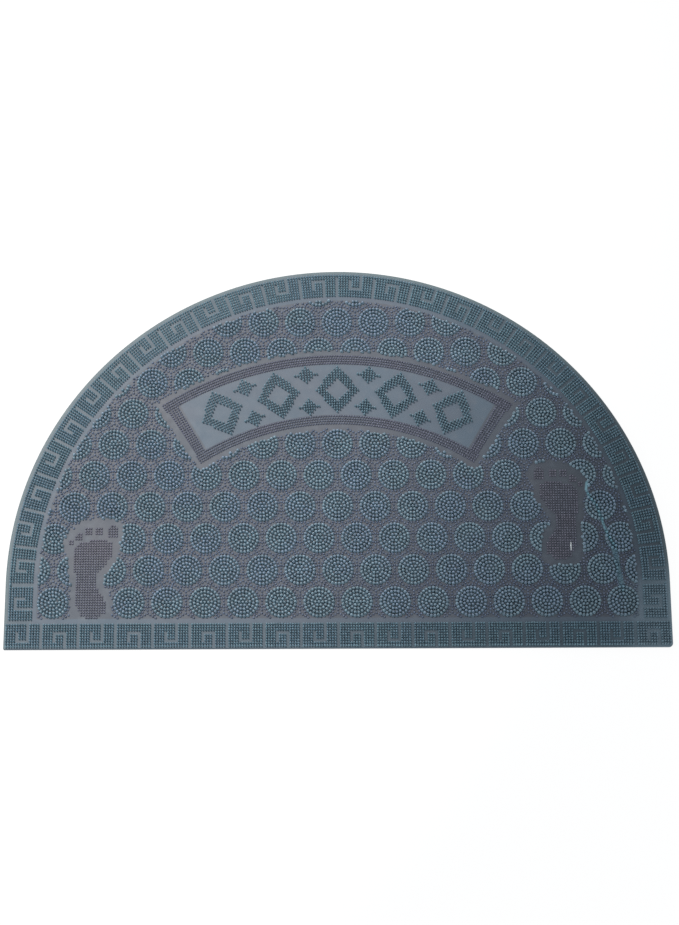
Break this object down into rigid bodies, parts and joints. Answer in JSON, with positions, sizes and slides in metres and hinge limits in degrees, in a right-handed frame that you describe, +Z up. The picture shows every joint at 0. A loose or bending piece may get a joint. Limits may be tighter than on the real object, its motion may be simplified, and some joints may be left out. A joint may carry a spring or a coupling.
{
  "type": "half round rubber pin doormat",
  "caption": "Half round moulded rubber pin mat with a key border, staggered rounds of pins, an arched lozenge panel and two footprints.",
  "frame": {"origin": "middle of the bounding box on the floor, under the mat", "axes": "+X along the straight edge towards the right footprint, +Y from the straight edge towards the crown of the arc, +Z up out of the floor"},
  "size_m": [0.75, 0.45, 0.0069],
  "materials": {
    "moulded_rubber": "matt moulded rubber, blue-green on the tall pins"
  },
  "bodies": {
    "root": {"mat": "moulded_rubber"}
  },
  "joints": []
}
